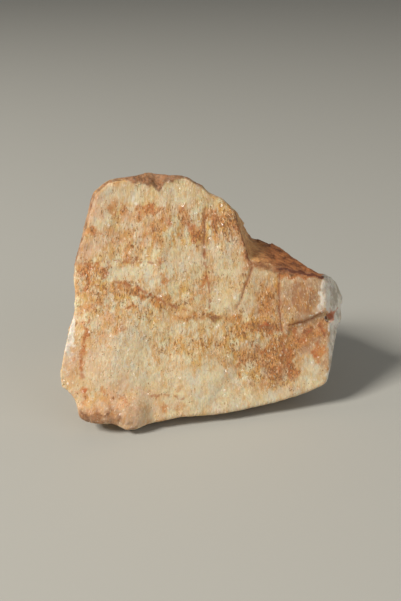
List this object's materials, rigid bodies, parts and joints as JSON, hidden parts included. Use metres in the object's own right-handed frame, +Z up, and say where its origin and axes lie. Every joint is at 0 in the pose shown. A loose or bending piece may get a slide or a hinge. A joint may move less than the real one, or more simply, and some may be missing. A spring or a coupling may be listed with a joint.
{
  "type": "calcite crystal",
  "caption": "Rough cleaved lump of cream and orange-brown calcite with a broad leaning front face, a bevelled notch at the upper right and a flat base to rest on.",
  "frame": {"origin": "on the resting plane, under the middle of the bounding box", "axes": "+X along the broad front face to the right, +Y from the front face to the back, +Z up"},
  "size_m": [0.0964, 0.063, 0.0813],
  "materials": {
    "calcite": "waxy broken calcite, cream with orange-brown streaks"
  },
  "bodies": {
    "root": {"calcite_crystal": "calcite"}
  },
  "joints": []
}
